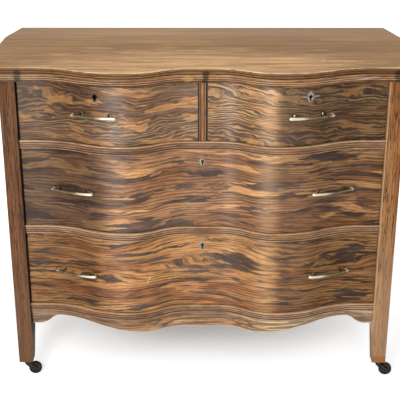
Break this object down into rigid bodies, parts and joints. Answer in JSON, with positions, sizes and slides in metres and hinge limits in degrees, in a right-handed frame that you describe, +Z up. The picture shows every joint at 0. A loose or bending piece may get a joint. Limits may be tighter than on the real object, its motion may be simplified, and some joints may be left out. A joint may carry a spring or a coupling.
{
  "type": "serpentine chest of drawers",
  "caption": "Serpentine-front oak chest of half-width drawers over full-width drawers, with a moulded top, framed ends, scalloped apron, scrolled bar pulls, locks and swivel casters.",
  "frame": {"origin": "middle of the overall footprint, on the floor under the casters", "axes": "+X along the width to the viewer's right, +Y to the back, +Z up"},
  "size_m": [1.096, 0.528, 0.885],
  "materials": {
    "case_oak": "aged satin stain",
    "top_oak": "worn satin varnish",
    "front_oak": "figured, satin varnish",
    "plain_wood": "bare, unfinished",
    "pull_brass": "aged cast",
    "lock_steel": "dull",
    "caster_iron": "worn black"
  },
  "bodies": {
    "case": {"front_post_left": "case_oak", "front_post_right": "case_oak", "rear_post_left": "case_oak", "rear_post_right": "case_oak", "side_panel_left": "case_oak", "side_panel_right": "case_oak", "side_rails_left": "case_oak", "side_rails_right": "case_oak", "upper_rail": "case_oak", "lower_rail": "case_oak", "bottom_rail": "case_oak", "apron": "case_oak", "drawer_divider": "case_oak", "top_board": "top_oak", "top_moulding": "top_oak", "back_panel": "plain_wood", "back_rails": "plain_wood", "top_front_rail": "plain_wood", "centre_runner": "plain_wood", "side_runners": "plain_wood", "top_kickers": "plain_wood", "drawer_stops": "plain_wood"},
    "top_left_drawer": {"top_left_drawer_front": "front_oak", "top_left_drawer_sides": "plain_wood", "top_left_drawer_back": "plain_wood", "top_left_drawer_bottom": "plain_wood", "top_left_drawer_pull": "pull_brass", "top_left_lock": "lock_steel"},
    "top_left_bolt": {"top_left_lock_bolt": "lock_steel"},
    "top_right_drawer": {"top_right_drawer_front": "front_oak", "top_right_drawer_sides": "plain_wood", "top_right_drawer_back": "plain_wood", "top_right_drawer_bottom": "plain_wood", "top_right_drawer_pull": "pull_brass", "top_right_lock": "lock_steel", "top_right_escutcheon": "pull_brass"},
    "top_right_bolt": {"top_right_lock_bolt": "lock_steel"},
    "middle_drawer": {"middle_drawer_front": "front_oak", "middle_drawer_sides": "plain_wood", "middle_drawer_back": "plain_wood", "middle_drawer_bottom": "plain_wood", "middle_drawer_pull": "pull_brass", "middle_lock": "lock_steel"},
    "middle_bolt": {"middle_lock_bolt": "lock_steel"},
    "bottom_drawer": {"bottom_drawer_front": "front_oak", "bottom_drawer_sides": "plain_wood", "bottom_drawer_back": "plain_wood", "bottom_drawer_bottom": "plain_wood", "bottom_drawer_pull": "pull_brass", "bottom_lock": "lock_steel"},
    "bottom_bolt": {"bottom_lock_bolt": "lock_steel"},
    "front_left_caster": {"front_left_caster_fork": "caster_iron"},
    "front_left_wheel": {"front_left_caster_wheel": "caster_iron"},
    "front_right_caster": {"front_right_caster_fork": "caster_iron"},
    "front_right_wheel": {"front_right_caster_wheel": "caster_iron"},
    "rear_left_caster": {"rear_left_caster_fork": "caster_iron"},
    "rear_left_wheel": {"rear_left_caster_wheel": "caster_iron"},
    "rear_right_caster": {"rear_right_caster_fork": "caster_iron"},
    "rear_right_wheel": {"rear_right_caster_wheel": "caster_iron"}
  },
  "joints": [
    {"name": "top_left_drawer_slide", "type": "slide", "parent": "case", "child": "top_left_drawer", "axis": [0, -1, 0], "range_m": [0, 0.3]},
    {"name": "top_left_bolt_slide", "type": "slide", "parent": "top_left_drawer", "child": "top_left_bolt", "axis": [0, 0, 1], "range_m": [0, 0.008]},
    {"name": "top_right_drawer_slide", "type": "slide", "parent": "case", "child": "top_right_drawer", "axis": [0, -1, 0], "range_m": [0, 0.3]},
    {"name": "top_right_bolt_slide", "type": "slide", "parent": "top_right_drawer", "child": "top_right_bolt", "axis": [0, 0, 1], "range_m": [0, 0.008]},
    {"name": "middle_drawer_slide", "type": "slide", "parent": "case", "child": "middle_drawer", "axis": [0, -1, 0], "range_m": [0, 0.3]},
    {"name": "middle_bolt_slide", "type": "slide", "parent": "middle_drawer", "child": "middle_bolt", "axis": [0, 0, 1], "range_m": [0, 0.008]},
    {"name": "bottom_drawer_slide", "type": "slide", "parent": "case", "child": "bottom_drawer", "axis": [0, -1, 0], "range_m": [0, 0.3]},
    {"name": "bottom_bolt_slide", "type": "slide", "parent": "bottom_drawer", "child": "bottom_bolt", "axis": [0, 0, 1], "range_m": [0, 0.008]},
    {"name": "front_left_swivel", "type": "hinge", "parent": "case", "child": "front_left_caster", "pos_m": [-0.4895, -0.173, 0.044], "axis": [0, 0, 1], "continuous": true},
    {"name": "front_left_roll", "type": "hinge", "parent": "front_left_caster", "child": "front_left_wheel", "pos_m": [-0.4675, -0.173, 0.018], "axis": [0, 1, 0], "continuous": true},
    {"name": "front_right_swivel", "type": "hinge", "parent": "case", "child": "front_right_caster", "pos_m": [0.4895, -0.173, 0.044], "axis": [0, 0, 1], "continuous": true},
    {"name": "front_right_roll", "type": "hinge", "parent": "front_right_caster", "child": "front_right_wheel", "pos_m": [0.51117, -0.17682, 0.018], "axis": [0.1736, 0.9848, 0], "continuous": true},
    {"name": "rear_left_swivel", "type": "hinge", "parent": "case", "child": "rear_left_caster", "pos_m": [-0.4895, 0.2265, 0.044], "axis": [0, 0, 1], "continuous": true},
    {"name": "rear_left_roll", "type": "hinge", "parent": "rear_left_caster", "child": "rear_left_wheel", "pos_m": [-0.51017, 0.23402, 0.018], "axis": [-0.342, -0.9397, 0], "continuous": true},
    {"name": "rear_right_swivel", "type": "hinge", "parent": "case", "child": "rear_right_caster", "pos_m": [0.4895, 0.2265, 0.044], "axis": [0, 0, 1], "continuous": true},
    {"name": "rear_right_roll", "type": "hinge", "parent": "rear_right_caster", "child": "rear_right_wheel", "pos_m": [0.50752, 0.23912, 0.018], "axis": [-0.5736, 0.8192, 0], "continuous": true}
  ]
}
